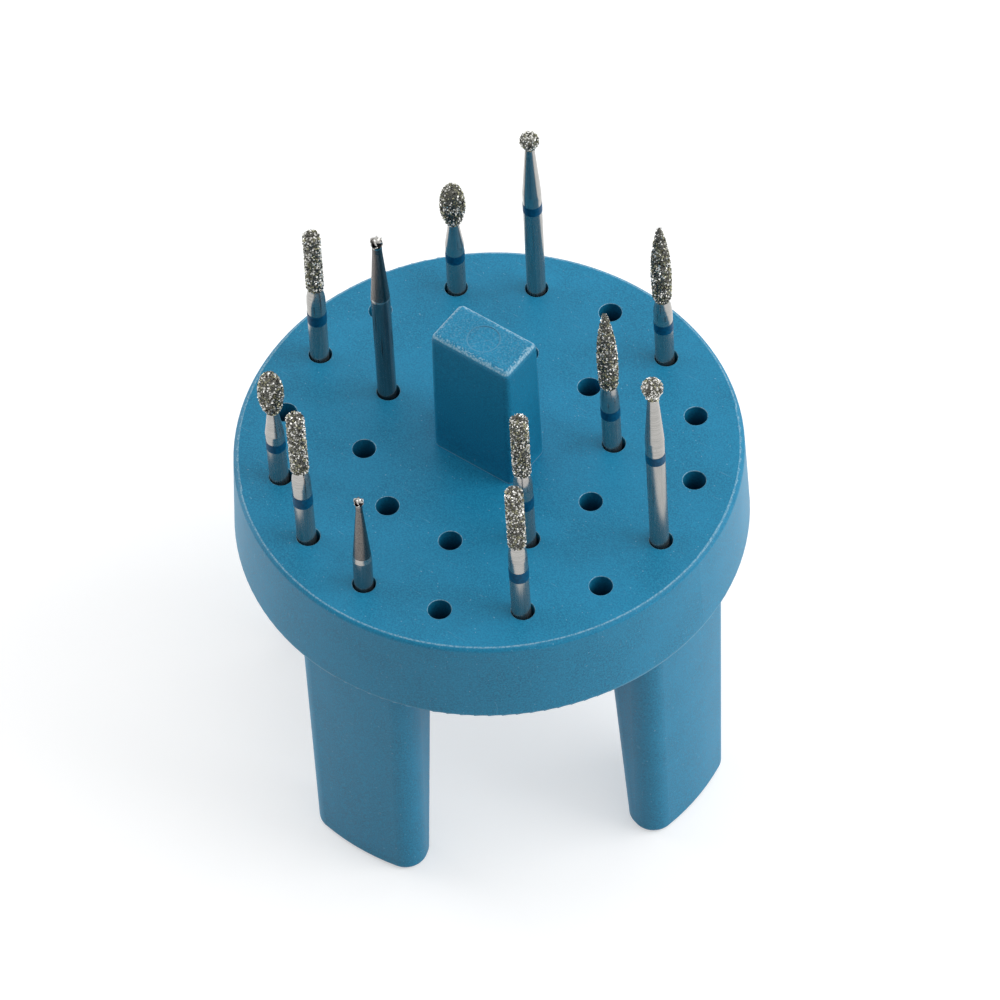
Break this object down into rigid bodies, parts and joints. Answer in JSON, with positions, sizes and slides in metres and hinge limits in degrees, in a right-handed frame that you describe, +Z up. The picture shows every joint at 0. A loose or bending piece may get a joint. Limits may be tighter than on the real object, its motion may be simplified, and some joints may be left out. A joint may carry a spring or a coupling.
{
  "type": "dental bur block",
  "caption": "Round block on legs with an upright grip and rings of blind holes, some holding loose dental burs with cylinder, egg, flame and ball heads.",
  "frame": {"origin": "middle of the plane that the feet stand on, on the axis of the round block", "axes": "+Z up along the axis of the block; +X along the long side of the grip, through a leg and through the first hole of both rings"},
  "size_m": [0.0428, 0.0428, 0.0537],
  "materials": {
    "block_plastic": "satin moulded blue plastic with a fine grain",
    "bur_steel": "turned and ground steel",
    "band_colour": "satin dark blue",
    "diamond_grit": "coarse diamond grit bonded in nickel",
    "carbide": "ground tungsten carbide"
  },
  "bodies": {
    "root": {"ball_bur_1_band": "band_colour", "ball_bur_1_blank": "bur_steel", "ball_bur_1_grit": "diamond_grit", "ball_bur_2_band": "band_colour", "ball_bur_2_blank": "bur_steel", "ball_bur_2_grit": "diamond_grit", "block": "block_plastic", "carbide_bur_1_head": "carbide", "carbide_bur_1_shank": "bur_steel", "carbide_bur_2_head": "carbide", "carbide_bur_2_shank": "bur_steel", "cylinder_bur_1_band": "band_colour", "cylinder_bur_1_blank": "bur_steel", "cylinder_bur_1_grit": "diamond_grit", "cylinder_bur_2_band": "band_colour", "cylinder_bur_2_blank": "bur_steel", "cylinder_bur_2_grit": "diamond_grit", "cylinder_bur_3_band": "band_colour", "cylinder_bur_3_blank": "bur_steel", "cylinder_bur_3_grit": "diamond_grit", "cylinder_bur_4_band": "band_colour", "cylinder_bur_4_blank": "bur_steel", "cylinder_bur_4_grit": "diamond_grit", "egg_bur_1_band": "band_colour", "egg_bur_1_blank": "bur_steel", "egg_bur_1_grit": "diamond_grit", "egg_bur_2_band": "band_colour", "egg_bur_2_blank": "bur_steel", "egg_bur_2_grit": "diamond_grit", "flame_bur_1_band": "band_colour", "flame_bur_1_blank": "bur_steel", "flame_bur_1_grit": "diamond_grit", "flame_bur_2_band": "band_colour", "flame_bur_2_blank": "bur_steel", "flame_bur_2_grit": "diamond_grit"}
  },
  "joints": []
}
